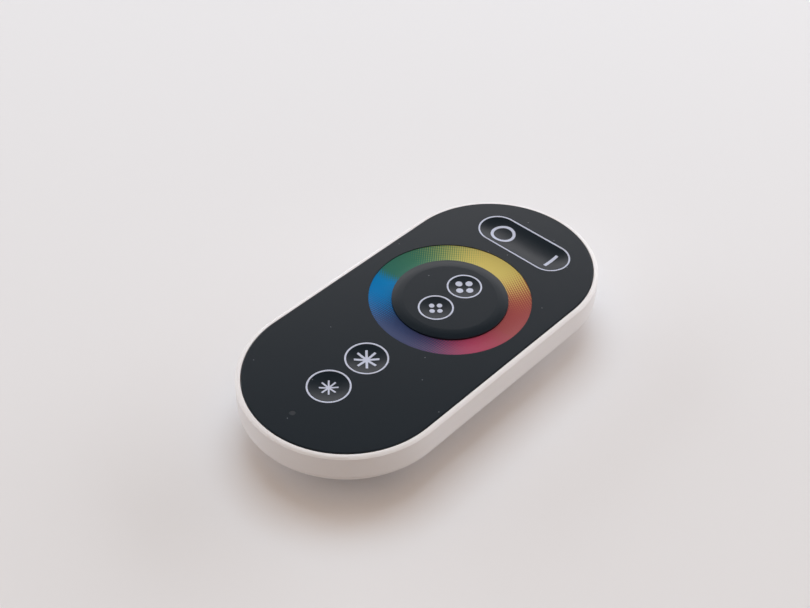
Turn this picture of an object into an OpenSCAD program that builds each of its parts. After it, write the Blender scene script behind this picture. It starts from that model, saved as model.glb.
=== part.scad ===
// Handheld touch remote for a colour-changing light strip. A flat black touch panel lies in a
// white case of two parts, and two AAA cells lie behind a cover that slides out of the base.
// Sizes are in millimetres. Z points up from the base, and Y runs from the star pads to the power pad.
// Every outline is a stadium round the same two end centres, so most shapes are one section
// that is revolved at both ends and extruded between them.

/* [Case] */
// Width of the case across its straight sides
case_w = 55.6; // [54.6:0.1:58]
// Length of the case from tip to tip
case_l = 113.2; // [111:0.1:120]
// Width of the white rim round the touch panel
rim_w = 1.5; // [1.3:0.1:1.8]
// Thickness of the upper housing's wall
housing_t = 1.6; // [1.4:0.1:1.8]
// Thickness of the lower shell's wall
shell_t = 1.8; // [1.6:0.1:2]
// Drop from the top of the panel to the parting line
parting_drop = 7.1; // [6.8:0.1:7.3]
// Height of the strip of lower shell under the parting line
edge_strip = 0.7; // [0.45:0.05:0.8]
// Radius of the turn from that strip into the flank
edge_round = 0.9; // [0.5:0.1:0.9]
// Width at which the flanks would meet the base
base_w = 24.6; // [24:0.2:26]
// Radius that blends the flanks into the base
base_round = 10; // [8:0.5:12]

/* [Touch panel] */
// Thickness of the touch panel
panel_t = 2; // [2:0.1:2.4]
// Height of the panel above the white rim
panel_proud = 0.25; // [0.2:0.05:0.6]
// Radius of the panel's upper edge
panel_round = 0.2; // [0.15:0.05:0.4]
// Gap round the panel in the housing
panel_gap = 0.2; // [0.1:0.05:0.3]
// Place of the colour ring's centre along the case, as a share of its half length
ring_y_share = 0.1714; // [0.16:0.0002:0.185]
// Width of plain panel beside the colour ring
ring_margin = 4.7; // [4.5:0.1:5.5]
// Width of the colour ring
ring_w = 6.15; // [5.5:0.05:6.4]
// Greatest depth of the ring groove
ring_deep = 1; // [0.8:0.05:1.1]
// Thickness of the printed film in the groove
film_t = 0.15; // [0.1:0.05:0.2]
// Width of the zone in which the centre disc's edge falls
disc_round_w = 3; // [2:0.1:3.4]
// Fall of the centre disc's edge before its wall drops to the film
disc_fall = 0.4; // [0.2:0.05:0.6]
// Radius of the two star pads
star_pad_r = 5.4; // [5:0.1:5.8]
// Place of the small star pad towards the near tip, as a share of the case's half length
small_star_share = 0.6254; // [0.61:0.0002:0.64]
// Place of the large star pad towards the near tip, as a share of the case's half length
large_star_share = 0.3888; // [0.38:0.0002:0.4]
// Depth of the star pads
star_deep = 0.6; // [0.4:0.05:0.8]
// Radius of the two dotted pads, as a share of the centre disc's radius
dot_pad_share = 0.2913; // [0.26:0.0001:0.31]
// Distance of the small dotted pad from the disc's centre, as a share of the disc's radius
small_dot_share = 0.3657; // [0.35:0.0001:0.39]
// Distance of the large dotted pad from the disc's centre, as a share of the disc's radius
large_dot_share = 0.3754; // [0.35:0.0001:0.39]
// Depth of the dotted pads
dot_deep = 0.35; // [0.2:0.05:0.5]
// Radius of the power pad's round ends
power_r = 5.5; // [5:0.1:5.8]
// Distance between the centres of the power pad's ends
power_span = 17.9; // [17:0.1:19]
// Place of the power pad towards the far tip, as a share of the case's half length
power_share = 0.7191; // [0.71:0.0001:0.73]
// Depth of the power pad's trough
power_deep = 0.8; // [0.5:0.05:0.9]
// Place of the indicator window towards the near tip, as a share of the case's half length
led_share = 0.8419; // [0.82:0.0001:0.86]
// Diameter of the indicator window
led_d = 1.5; // [1.2:0.1:2]

/* [Battery bay] */
// Diameter of a cell
cell_d = 10.5; // [10:0.1:10.8]
// Length of a cell with its nub
cell_l = 44.5; // [43.5:0.1:45]
// Gap between the two cells
cell_space = 0.5; // [0.3:0.1:1]
// Clearance round the cells in the bay
cell_gap = 0.3; // [0.2:0.05:0.5]
// Length of a contact spring when a cell holds it down
spring_l = 3.9; // [3.7:0.1:4.4]
// Diameter of the spring wire
spring_wire_d = 0.5; // [0.4:0.05:0.5]
// Turns of a contact spring
spring_turns = 3.5; // [2.5:0.5:3.5]
// Thickness of the contact plates
contact_t = 0.3; // [0.2:0.05:0.4]
// Thickness of the bay's walls and roof
bay_t = 1.3; // [1.2:0.1:1.5]

/* [Battery cover] */
// Thickness of the battery cover
cover_t = 1.8; // [1.6:0.1:2]
// Width of the battery cover
cover_w = 26.4; // [26:0.1:27]
// Height of the cover's side walls from the base
flange_h = 5.2; // [5:0.1:5.6]
// Thickness of the cover's side walls
flange_t = 1.2; // [1:0.1:1.3]
// Width of the tongues on the side walls
tongue_w = 1.1; // [0.9:0.1:1.2]
// Thickness of the tongues
tongue_t = 1; // [0.8:0.1:1.1]
// Gap between the cover and the lower shell
slide_gap = 0.3; // [0.25:0.05:0.4]
// Radius of the two corners at the cover's far end
cover_corner_r = 2.5; // [1.5:0.5:4]

/* [Circuit] */
// Thickness of the circuit board
board_t = 1.2; // [1:0.1:1.6]
// Free height under the circuit board for its chips
chip_space = 2.3; // [2.1:0.1:3]
// Thickness of the copper touch areas
copper_t = 0.1; // [0.05:0.05:0.15]
// Thickness of the adhesive tapes
tape_t = 0.2; // [0.15:0.05:0.3]
// Number of touch segments under the colour ring
ring_segments = 8; // [4:1:12]
// Gap between two touch segments
segment_gap = 0.8; // [0.5:0.1:1.2]
// Diameter of the two battery leads
lead_d = 1; // [0.8:0.1:1.1]

/* [Screws] */
// Diameter of the screw heads
head_d = 4; // [3.6:0.1:4.2]
// Height of the screw heads
head_h = 1.3; // [1.1:0.1:1.5]
// Diameter of the screw shanks
shank_d = 1.9; // [1.7:0.1:2]
// Length of the screw shanks
shank_l = 4.6; // [4:0.1:4.8]

/* [Hidden] */
$fn = 96;

// One overrun serves every cut, and one depth every piece that is let into another
overrun = 1;
sink = 0.15;

// Colours as the photograph shows them, and plain ones for what is inside
panel_colour = "#2b2f32";
case_colour = "#eae6e4";
board_colour = "#2f6b45";
copper_colour = "#c98a4b";
chip_colour = "#26282a";
metal_colour = "#b9bcbf";
tape_colour = "#d9d2c0";

// The case's half width, and the half length between the two end centres
case_half = case_w / 2;
end_y = (case_l - case_w) / 2;

// Heights, stacked from the base to the top of the panel
cell_z = cover_t + cell_gap + cell_d / 2;
bay_top = cell_z + cell_d / 2 + cell_gap;
roof_top = bay_top + bay_t;
board_z = roof_top + chip_space;
copper_z = board_z + board_t;
tape_z = copper_z + copper_t;
panel_z = tape_z + tape_t;
case_h = panel_z + panel_t;
parting_z = case_h - parting_drop;
edge_z = parting_z - edge_strip;
rim_z = case_h - panel_proud;

// The flank's slope follows from the base's width and the edge's height
flank = atan2(edge_z, case_half - base_w / 2);

// Half widths of the stacked stadium outlines
panel_half = case_half - rim_w;
ledge_w = 2.4;
ledge_half = panel_half - ledge_w;
ledge_t = 1.5;
board_clear = 0.4;
board_half = ledge_half - board_clear;
rest_lap = 1.2;
rest_share = 0.7;

// Places along the case, and the colour ring's radii
ring_y = case_l / 2 * ring_y_share;
small_star_y = case_l / 2 * small_star_share;
large_star_y = case_l / 2 * large_star_share;
power_y = case_l / 2 * power_share;
led_y = case_l / 2 * led_share;
ring_out_r = panel_half - ring_margin;
ring_in_r = ring_out_r - ring_w;
dot_pad_r = ring_in_r * dot_pad_share;
small_dot_off = ring_in_r * small_dot_share;
large_dot_off = ring_in_r * large_dot_share;

// The joint between the two case parts
lip_w = 0.7;
lip_h = 1;
lip_gap = 0.1;
seam_w = 0.2;

// The rim falls in a shallow arc to a fine step above the straight wall
rim_fall = 0.45;
rim_fall_w = 0.9;
rim_step = 0.08;

// The ring groove: a wide arc that rises to a low wall at its outer edge
ring_wall = 0.26;
groove_low_r = ring_in_r + (ring_out_r - ring_in_r) / 4;
groove_half_w = ring_out_r - groove_low_r;
groove_rise = ring_deep - ring_wall;
groove_arc_r = (groove_half_w ^ 2 + groove_rise ^ 2) / (2 * groove_rise);
film_play = 0.02;

// The bay for the cells
cell_x = (cell_d + cell_space) / 2;
bay_half_w = cell_x + cell_d / 2 + cell_gap;
bay_half_l = (cell_l + spring_l) / 2 + contact_t;

// The cover's outline and the channel that it slides in
cover_half = cover_w / 2;
channel_half = cover_half + slide_gap;
channel_z = flange_h + slide_gap;
groove_half = cover_half + tongue_w + slide_gap;
plug_half = cover_half - flange_t - slide_gap;
plug_inset = cover_t + slide_gap;
cover_far_y = bay_half_l + bay_t + slide_gap;
tongue_half_l = bay_half_l - bay_t;
grip_ribs = 5;
grip_pitch = 1.8;
grip_rib_w = 0.8;
grip_deep = 0.5;
grip_w = 12;
grip_y = cover_far_y - grip_ribs * grip_pitch - grip_pitch;
arrow_l = 5;
detent_h = slide_gap * 2 / 3;
detent_w = 6;
detent_l = 0.8;
detent_y = bay_half_l + bay_t / 2;
flank_rib_share = 0.4;

// The screws stand in the four shoulders of the case
head_gap = 0.3;
post_wall = 1;
post_r = head_d / 2 + post_wall;
screw_x = groove_half + bay_t + post_r - sink;
screw_share = 0.206;
screw_y = end_y + case_half * screw_share;
screw_reach = norm([screw_x, screw_y - end_y]);
seat_t = 2;
seat_z = parting_z - seat_t;
boss_r = 2.6;
pilot_gap = 0.05;
pilot_spare = 0.3;
pilot_depth = shank_l - seat_t + pilot_spare;

// Contact plates and tabs
plate_w = 8.5;
plate_h = 8;
plate_low = cell_z - plate_h / 2;
tab_w = 2;
tab_spare = 0.3;
tab_top = roof_top + lead_d + tab_spare;
tab_gap = 0.1;
spring_base_r = 3.4;
spring_tip_r = 2.4;
wire_sides = 6;
rings_per_turn = 8;
lead_sides = 8;
lead_run = 6.4;
lead_lift = 0.1;

// A battery lead's path, as shares of its run and of its rise
lead_shares = [
    [0, 0], [0.2, 0], [0.4, 0], [0.58, 0.02], [0.74, 0.12], [0.87, 0.32], [0.96, 0.6], [1, 0.85], [1, 1]
];

// Components, as shares of the board's half width and half length. Those beyond the bay's ends,
// other than the radio, keep their distance from the bay
tall_away = 7.7;
low_away = 15;
small_away = 8.8;
tall_share = (bay_half_l + bay_t + tall_away) / (end_y + board_half);
low_share = (bay_half_l + bay_t + low_away) / (end_y + board_half);
small_share = (bay_half_l + bay_t + small_away) / (end_y + board_half);
touch_chip_shares = [-0.22, 0.13];
microcontroller_shares = [0.3, -0.16];
radio_shares = [0, 0.79];
clock_shares = [-0.36, -tall_share];
capacitor_shares = [0.36, -tall_share];
regulator_shares = [0, -low_share];
chip_capacitor_shares = [
    [-0.62, 0.3], [-0.62, 0], [0.1, 0.22], [0.68, -0.1], [0.3, -low_share], [0.45, small_share]
];
chip_resistor_shares = [
    [-0.62, 0.2], [-0.62, -0.12], [-0.2, -0.1], [-0.2, -0.18],
    [0.68, 0.1], [0.68, 0.2], [-0.3, -low_share], [-0.5, small_share]
];

// Sizes of the components
touch_chip_size = [5.3, 10.2, 1.6];
touch_chip_legs = 12;
microcontroller_size = [7, 7, 1.4];
microcontroller_legs = 8;
radio_board_size = [16, 11, 0.8];
radio_chip_size = [4, 4, 0.8];
radio_crystal_size = [3.2, 2.5, 0.7];
regulator_size = [4.5, 2.5, 1.5];
clock_w = 11;
clock_r = 2.3;
clock_h = 3.4;
clock_foot = 0.5;
capacitor_r = 2.5;
capacitor_l = 7;
capacitor_lift = 0.1;
capacitor_leg_r = 0.3;
chip_part_size = [1.8, 1, 0.8];
chip_part_cap = 0.35;
chip_part_step = 0.05;
leg_l = 0.9;
leg_w = 0.35;
leg_pitch = 0.8;
chip_lift = 0.1;
status_led_size = [1.6, 0.9, 0.4];
status_lens_h = 0.2;
status_lens_share = 0.8;
pocket_gap = 0.1;
pipe_flange_w = 0.7;
pipe_flange_r = led_d / 2 + pipe_flange_w;
pipe_flange_t = 0.5;

// Direction from one point to another
function toward(p, q) = (q - p) / norm(q - p);

// Rounds the convex corner p of its children, whose edges run towards a and b
module round_corner(p, a, b, r) {
    u = toward(p, a);
    v = toward(p, b);
    half_angle = acos(u * v) / 2;
    reach = r / tan(half_angle);
    centre = p + (u + v) / norm(u + v) * r / sin(half_angle);
    difference() {
        children();
        difference() {
            polygon([p + u * reach, p - (u + v) * overrun, p + v * reach, centre]);
            translate(centre) circle(r = r);
        }
    }
}

// Sweeps a half section, drawn from the centre line outwards, round the stadium
module sweep() {
    for (turn = [0, 180])
        rotate([0, 0, turn])
            translate([0, end_y, 0])
                rotate_extrude(angle = 180) children();
    rotate([90, 0, 0])
        linear_extrude(height = 2 * end_y, center = true) {
            children();
            mirror([1, 0, 0]) children();
        }
}

// A stadium-shaped slab of the given half width, between two heights
module slab(half, low, high) {
    sweep() translate([0, low]) square([half, high - low]);
}

// A block that is centred on X, between two places along Y and two heights
module block(half, near, far, low, high) {
    translate([-half, near, low]) cube([2 * half, far - near, high - low]);
}

// The case's lower section, moved inwards by inset and cut off at top; only the outside is rounded
module shell_section(inset, top) {
    slant = inset / sin(flank);
    side_x = case_half - inset;
    flat_end = [base_w / 2 + inset / tan(flank) - slant, inset];
    side_end = [side_x, (side_x - base_w / 2 + slant) * tan(flank)];
    corners = [[0, inset], flat_end, side_end, [side_x, case_h], [0, case_h]];
    intersection() {
        translate([0, -overrun]) square([case_half + overrun, top + overrun]);
        if (inset > 0)
            polygon(corners);
        else
            round_corner(flat_end, [0, 0], side_end, base_round)
                round_corner(side_end, flat_end, [side_x, case_h], edge_round)
                    polygon(corners);
    }
}

// The lower case as a solid, moved inwards by inset
module shell_form(inset, top) {
    sweep() shell_section(inset, top);
}

// Puts its children at the four screws
module at_screws() {
    for (x = [-screw_x, screw_x], y = [-screw_y, screw_y])
        translate([x, y, 0]) children();
}

// Places its children under the circuit board, drawn downwards from the board's lower face
module under_board(shares) {
    translate([shares.x * board_half, shares.y * (end_y + board_half), board_z])
        mirror([0, 0, 1]) children();
}

// A box that stands on the plane, centred in plan
module standing_box(size, lift) {
    translate([-size.x / 2, -size.y / 2, lift]) cube(size);
}

// A round dish of the given mouth radius and depth, as the ball that cuts it
module dish(mouth_r, deep) {
    ball_r = (mouth_r ^ 2 + deep ^ 2) / (2 * deep);
    translate([0, 0, case_h + ball_r - deep]) sphere(r = ball_r);
}

// A long dish: two balls with a round bar between them
module trough(mouth_r, deep, span) {
    ball_r = (mouth_r ^ 2 + deep ^ 2) / (2 * deep);
    translate([0, 0, case_h + ball_r - deep]) {
        for (x = [-span / 2, span / 2])
            translate([x, 0, 0]) sphere(r = ball_r);
        rotate([0, 90, 0]) cylinder(r = ball_r, h = span, center = true);
    }
}

// Section of the ring groove, with the film's thickness added to its depth
module groove_section(extra) {
    arc_z = case_h - ring_deep + groove_arc_r;
    disc_edge_r = ring_in_r - disc_round_w;
    disc_arc_r = (disc_round_w ^ 2 + disc_fall ^ 2) / (2 * disc_fall);
    intersection() {
        translate([ring_in_r, case_h - ring_deep - 2 * extra])
            square([ring_out_r - ring_in_r, ring_deep + 2 * extra + overrun]);
        union() {
            translate([groove_low_r, arc_z]) circle(r = groove_arc_r + extra);
            translate([ring_in_r, case_h - ring_wall])
                square([ring_out_r - ring_in_r, ring_wall + overrun]);
        }
    }
    // The centre disc's edge falls in a gentle arc, then its wall drops to the film
    difference() {
        translate([disc_edge_r, case_h - disc_fall])
            square([ring_in_r - disc_edge_r, disc_fall + overrun]);
        translate([disc_edge_r, case_h - disc_arc_r]) circle(r = disc_arc_r);
    }
}

module front_panel() {
    pocket_r = pipe_flange_r + pocket_gap;
    color(panel_colour)
        difference() {
            sweep()
                round_corner([panel_half, case_h], [0, case_h], [panel_half, panel_z], panel_round)
                    translate([0, panel_z]) square([panel_half, panel_t]);
            translate([0, ring_y, 0]) rotate_extrude() groove_section(film_t);
            translate([0, ring_y - small_dot_off, 0]) dish(dot_pad_r, dot_deep);
            translate([0, ring_y + large_dot_off, 0]) dish(dot_pad_r, dot_deep);
            translate([0, -small_star_y, 0]) dish(star_pad_r, star_deep);
            translate([0, -large_star_y, 0]) dish(star_pad_r, star_deep);
            translate([0, power_y, 0]) trough(power_r, power_deep, power_span);
            translate([0, -led_y, panel_z - overrun]) cylinder(d = led_d, h = panel_t + 2 * overrun);
            translate([0, -led_y, panel_z - overrun]) cylinder(r = pocket_r, h = panel_t / 2 + overrun);
        }
}

module colour_ring() {
    arc_z = case_h - ring_deep + groove_arc_r;
    color("#3f7fae")
        translate([0, ring_y, 0])
            rotate_extrude()
                intersection() {
                    translate([ring_in_r + film_play, case_h - ring_deep - film_t])
                        square([ring_out_r - ring_in_r - 2 * film_play, ring_deep + film_t - ring_wall]);
                    difference() {
                        translate([groove_low_r, arc_z]) circle(r = groove_arc_r + film_t - film_play);
                        translate([groove_low_r, arc_z]) circle(r = groove_arc_r);
                    }
                }
}

module led_window() {
    pipe_z = panel_z + panel_t / 2;
    color("#d8dde0")
        translate([0, -led_y, 0]) {
            translate([0, 0, pipe_z - pipe_flange_t]) cylinder(r = pipe_flange_r, h = pipe_flange_t);
            translate([0, 0, pipe_z - film_play]) cylinder(d = led_d - 2 * film_play, h = case_h - pipe_z);
        }
}

// Section of the upper housing as a solid, with the rim's arc and its fine step
module housing_section() {
    fall_r = (rim_fall ^ 2 + rim_fall_w ^ 2) / (2 * rim_fall);
    fall_x = case_half - rim_step - rim_fall_w;
    difference() {
        translate([0, parting_z]) square([case_half, rim_z - parting_z]);
        difference() {
            translate([fall_x, rim_z - rim_fall])
                square([case_half - fall_x + overrun, rim_fall + overrun]);
            translate([fall_x, rim_z - fall_r]) circle(r = fall_r);
        }
    }
}

module upper_housing() {
    inner_half = case_half - housing_t;
    ledge_z = panel_z - tape_t;
    ledge_low = ledge_z - ledge_t;
    rebate_top = parting_z + lip_h + lip_gap;
    rest_w = inner_half - board_half + rest_lap;
    rest_x = inner_half + sink - rest_w;
    web_l = inner_half + sink - screw_reach;
    color(case_colour)
        difference() {
            union() {
                difference() {
                    sweep() housing_section();
                    slab(panel_half + panel_gap, ledge_z, case_h);
                    slab(ledge_half, ledge_low - overrun, case_h);
                    slab(inner_half, parting_z - overrun, ledge_low);
                    slab(inner_half + lip_w + lip_gap, parting_z - overrun, rebate_top);
                }
                // The bosses for the screws stay clear of the lower shell's lip
                intersection() {
                    slab(inner_half - lip_gap, parting_z - overrun, board_z + overrun);
                    at_screws() translate([0, 0, parting_z]) cylinder(r = boss_r, h = board_z - parting_z);
                }
                // A web ties each boss to the wall
                for (x = [-1, 1], y = [-1, 1])
                    translate([x * screw_x, y * screw_y, rebate_top])
                        rotate([0, 0, atan2(y * (screw_y - end_y), x * screw_x)])
                            translate([0, -bay_t / 2, 0])
                                cube([web_l, bay_t, ledge_low - rebate_top]);
                // Rests along the sides carry the board's edges
                for (side = [0, 1], y = [-1, 0, 1])
                    mirror([side, 0, 0])
                        translate([rest_x, y * rest_share * end_y - bay_t / 2, rebate_top])
                            cube([rest_w, bay_t, board_z - rebate_top]);
            }
            at_screws()
                translate([0, 0, parting_z - overrun])
                    cylinder(d = shank_d + 2 * pilot_gap, h = pilot_depth + overrun);
        }
}

// Outline of the cover seen from above, open towards the near tip, grown by gap
module cover_outline(gap) {
    half = cover_half + gap;
    far = cover_far_y + gap;
    near = -case_l / 2 - overrun;
    round_corner([half, far], [-half, far], [half, near], cover_corner_r)
        round_corner([-half, far], [half, far], [-half, near], cover_corner_r)
            translate([-half, near]) square([2 * half, far - near]);
}

module battery_cover() {
    flange_in = cover_half - flange_t;
    color(case_colour) {
        // A low nub clicks into a pocket over it when the cover is shut
        block(detent_w / 2, detent_y - detent_l / 2, detent_y + detent_l / 2,
              cover_t - detent_h, cover_t + detent_h);
        difference() {
            union() {
                intersection() {
                    shell_form(0, parting_z);
                    linear_extrude(height = flange_h) cover_outline(0);
                }
                block(cover_half + tongue_w, -tongue_half_l, tongue_half_l, flange_h - tongue_t, flange_h);
            }
            intersection() {
                shell_form(cover_t, parting_z);
                block(flange_in, -case_l / 2, cover_far_y + overrun, 0, flange_h + overrun);
            }
            // Grip ribs are left standing in a shallow recess
            difference() {
                block(grip_w / 2, grip_y - grip_rib_w, grip_y + grip_ribs * grip_pitch, -overrun, grip_deep);
                for (i = [0 : grip_ribs - 1])
                    block(grip_w / 2 + overrun, grip_y + i * grip_pitch, grip_y + i * grip_pitch + grip_rib_w,
                          0, grip_deep + overrun);
            }
            // An arrow shows which way the cover slides
            translate([0, grip_y - grip_pitch, -overrun])
                linear_extrude(height = grip_deep + overrun)
                    polygon([[-arrow_l / 2, 0], [0, -arrow_l / 2], [arrow_l / 2, 0]]);
        }
    }
}

module lower_shell() {
    block_far = cover_far_y + slide_gap + bay_t;
    tip = -case_l / 2 - overrun;
    channel_wall = groove_half + bay_t;
    flank_rib_y = bay_half_l * flank_rib_share;
    color(case_colour)
        difference() {
            union() {
                difference() {
                    shell_form(0, parting_z);
                    shell_form(shell_t, parting_z + overrun);
                    // A fine bevel marks the parting line
                    sweep()
                        polygon([
                            [case_half - seam_w - overrun, parting_z + overrun],
                            [case_half + overrun, parting_z + overrun],
                            [case_half + overrun, parting_z - seam_w - overrun]
                        ]);
                }
                // The lip that the upper housing fits over
                difference() {
                    slab(case_half - housing_t + lip_w, parting_z - edge_strip / 2, parting_z + lip_h);
                    slab(case_half - housing_t, parting_z - overrun, parting_z + lip_h + overrun);
                }
                intersection() {
                    shell_form(shell_t / 2, roof_top);
                    difference() {
                        union() {
                            block(bay_half_w + bay_t, -bay_half_l - bay_t, bay_half_l + bay_t, 0, roof_top);
                            block(channel_wall, tip, block_far, 0, channel_z + bay_t);
                            // Ribs stiffen the flanks beside the bay
                            for (y = [-flank_rib_y, flank_rib_y])
                                block(case_half, y - bay_t / 2, y + bay_t / 2, 0, edge_z);
                        }
                        // The near end is hollow above the floor that covers the slide
                        intersection() {
                            shell_form(plug_inset + bay_t, roof_top + overrun);
                            block(plug_half - bay_t, tip, -bay_half_l - bay_t, 0, roof_top);
                        }
                    }
                }
                intersection() {
                    shell_form(shell_t / 2, parting_z);
                    at_screws() cylinder(r = post_r, h = parting_z);
                }
            }
            // The bay for the cells
            block(bay_half_w, -bay_half_l, bay_half_l, cover_t, bay_top);
            block(channel_half, -bay_half_l, bay_half_l, -overrun, channel_z);
            // The way that the cover slides
            difference() {
                translate([0, 0, -overrun])
                    linear_extrude(height = channel_z + overrun) cover_outline(slide_gap);
                intersection() {
                    shell_form(plug_inset, parting_z);
                    block(plug_half, tip, block_far, 0, channel_z + overrun);
                }
            }
            // Grooves for the tongues run out of the near end
            for (x = [-1, 1])
                translate([x * (plug_half + groove_half) / 2, 0, 0])
                    block((groove_half - plug_half) / 2, tip, tongue_half_l + slide_gap,
                          flange_h - tongue_t - slide_gap, channel_z);
            // The pocket that the cover's nub clicks into
            block(detent_w / 2 + slide_gap, detent_y - detent_l, detent_y + detent_l,
                  cover_t, plug_inset + detent_h);
            // Slots for the tabs of the two end contacts
            for (x = [-cell_x, cell_x])
                translate([x - tab_w / 2 - cell_gap, bay_half_l - 2 * contact_t, bay_top - overrun])
                    cube([tab_w + 2 * cell_gap, 2 * contact_t + tab_gap, bay_t + 2 * overrun]);
            at_screws() {
                translate([0, 0, -overrun]) cylinder(r = head_d / 2 + head_gap, h = seat_z + overrun);
                cylinder(d = shank_d + 4 * pilot_gap, h = parting_z + overrun);
            }
        }
}

module case_screws() {
    slot_w = 0.5;
    slot_share = 0.6;
    slot_l = head_d * slot_share;
    color(metal_colour)
        at_screws()
            difference() {
                union() {
                    translate([0, 0, seat_z - head_h]) cylinder(d = head_d, h = head_h);
                    translate([0, 0, seat_z - film_play]) cylinder(d = shank_d, h = shank_l);
                }
                for (turn = [0, 90])
                    rotate([0, 0, turn])
                        translate([-slot_l / 2, -slot_w / 2, seat_z - head_h - overrun])
                            cube([slot_l, slot_w, head_h / 2 + overrun]);
            }
}

module panel_tape() {
    inset = 0.2;
    color(tape_colour)
        difference() {
            slab(panel_half - inset, tape_z, panel_z);
            slab(ledge_half + inset, tape_z - overrun, panel_z + overrun);
        }
}

module board_tape() {
    color(tape_colour)
        difference() {
            slab(board_half, tape_z, panel_z);
            translate([0, -led_y, tape_z - overrun])
                cylinder(r = pipe_flange_r + pocket_gap, h = tape_t + 2 * overrun);
        }
}

module circuit_board() {
    color(board_colour) slab(board_half, board_z, copper_z);
}

module ring_electrodes() {
    color(copper_colour)
        translate([0, ring_y, copper_z])
            difference() {
                cylinder(r = ring_out_r, h = copper_t);
                translate([0, 0, -overrun]) cylinder(r = ring_in_r, h = copper_t + 2 * overrun);
                for (i = [0 : ring_segments - 1])
                    rotate([0, 0, i * 360 / ring_segments])
                        translate([0, -segment_gap / 2, -overrun])
                            cube([ring_out_r + overrun, segment_gap, copper_t + 2 * overrun]);
            }
}

module pad_electrodes() {
    color(copper_colour)
        translate([0, 0, copper_z]) {
            for (y = [-small_star_y, -large_star_y])
                translate([0, y, 0]) cylinder(r = star_pad_r - segment_gap, h = copper_t);
            for (y = [-small_dot_off, large_dot_off])
                translate([0, ring_y + y, 0]) cylinder(r = dot_pad_r - segment_gap, h = copper_t);
            for (x = [-power_span / 2, power_span / 2])
                translate([x, power_y, 0]) cylinder(r = power_r - segment_gap, h = copper_t);
        }
}

module status_led() {
    color("#e9e7d8")
        translate([0, -led_y, copper_z]) {
            standing_box(status_led_size, 0);
            cylinder(d = status_led_size.y * status_lens_share, h = status_led_size.z + status_lens_h);
        }
}

// A chip under the board: its body, and a row of legs on two sides, or on all four
module chip(size, legs, four_sided) {
    row = (legs - 1) * leg_pitch;
    standing_box(size, chip_lift);
    for (turn = four_sided ? [0, 90] : [0])
        rotate([0, 0, turn])
            for (i = [0 : legs - 1])
                translate([0, i * leg_pitch - row / 2, 0])
                    standing_box([size.x + 2 * leg_l, leg_w, chip_lift + size.z / 2], 0);
}

module touch_chip() {
    color(chip_colour) under_board(touch_chip_shares) chip(touch_chip_size, touch_chip_legs, false);
}

module microcontroller() {
    color(chip_colour) under_board(microcontroller_shares) chip(microcontroller_size, microcontroller_legs, true);
}

module clock_crystal() {
    straight = clock_w - 2 * clock_r;
    color(metal_colour)
        under_board(clock_shares) {
            for (x = [-straight / 2, straight / 2])
                translate([x, 0, 0]) cylinder(r = clock_r, h = clock_h);
            standing_box([straight, 2 * clock_r, clock_h], 0);
            standing_box([clock_w, 2 * clock_r, clock_foot], 0);
        }
}

module voltage_regulator() {
    size = regulator_size;
    color(chip_colour)
        under_board(regulator_shares) {
            standing_box(size, 0);
            standing_box([size.x / 3, size.y + 2 * leg_l, size.z / 4], 0);
            for (x = [-size.x / 3, size.x / 3])
                translate([x, -size.y / 2, 0]) standing_box([leg_w, 2 * leg_l, size.z / 4], 0);
        }
}

module buffer_capacitor() {
    crimp_share = 0.92;
    crimp_r = capacitor_r * crimp_share;
    crimp_w = capacitor_l / 10;
    axis_z = capacitor_r + capacitor_lift;
    color("#3b3f52")
        under_board(capacitor_shares) {
            translate([0, 0, axis_z])
                rotate([0, 90, 0])
                    difference() {
                        cylinder(r = capacitor_r, h = capacitor_l, center = true);
                        translate([0, 0, -capacitor_l / 2 + crimp_w])
                            difference() {
                                cylinder(r = capacitor_r + overrun, h = crimp_w);
                                cylinder(r = crimp_r, h = crimp_w);
                            }
                    }
            // Its two legs run out of the crimped end and turn up to the board
            for (y = [-capacitor_r / 2, capacitor_r / 2])
                translate([-capacitor_l / 2 - leg_l, y, 0]) {
                    cylinder(r = capacitor_leg_r, h = axis_z + capacitor_leg_r);
                    translate([0, 0, axis_z])
                        rotate([0, 90, 0]) cylinder(r = capacitor_leg_r, h = leg_l + crimp_w);
                }
        }
}

// A small two-ended component with its soldered caps
module chip_part() {
    size = chip_part_size;
    step = chip_part_step;
    standing_box([size.x - 2 * step, size.y - 2 * step, size.z - step], step);
    for (x = [-1, 1])
        translate([x * (size.x - chip_part_cap) / 2, 0, 0]) standing_box([chip_part_cap, size.y, size.z], 0);
}

module chip_capacitors() {
    color("#b08c62")
        for (place = chip_capacitor_shares) under_board(place) chip_part();
}

module chip_resistors() {
    color("#3a3a3c")
        for (place = chip_resistor_shares) under_board(place) chip_part();
}

module radio_board() {
    color("#24508a") under_board(radio_shares) standing_box(radio_board_size, 0);
}

module radio_chip() {
    color(chip_colour)
        under_board(radio_shares)
            translate([-radio_board_size.x / 5, -radio_board_size.y / 8, 0])
                standing_box(radio_chip_size, radio_board_size.z);
}

module radio_crystal() {
    color(metal_colour)
        under_board(radio_shares)
            translate([radio_board_size.x / 4, -radio_board_size.y / 5, 0])
                standing_box(radio_crystal_size, radio_board_size.z);
}

// A copper line that winds to and fro along the radio board's far edge
module antenna_trace() {
    line_w = 0.5;
    turns = 6;
    trace_share = 0.8;
    step = radio_board_size.x * trace_share / turns;
    rise = radio_board_size.y / 4;
    color(copper_colour)
        under_board(radio_shares)
            translate([-step * turns / 2, radio_board_size.y / 2 - rise - line_w, radio_board_size.z])
                linear_extrude(height = copper_t)
                    for (i = [0 : turns - 1])
                        translate([i * step, 0]) {
                            square([line_w, rise]);
                            translate([0, i % 2 == 0 ? rise - line_w : 0]) square([step + line_w, line_w]);
                            translate([step, 0]) square([line_w, rise]);
                        }
}

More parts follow.
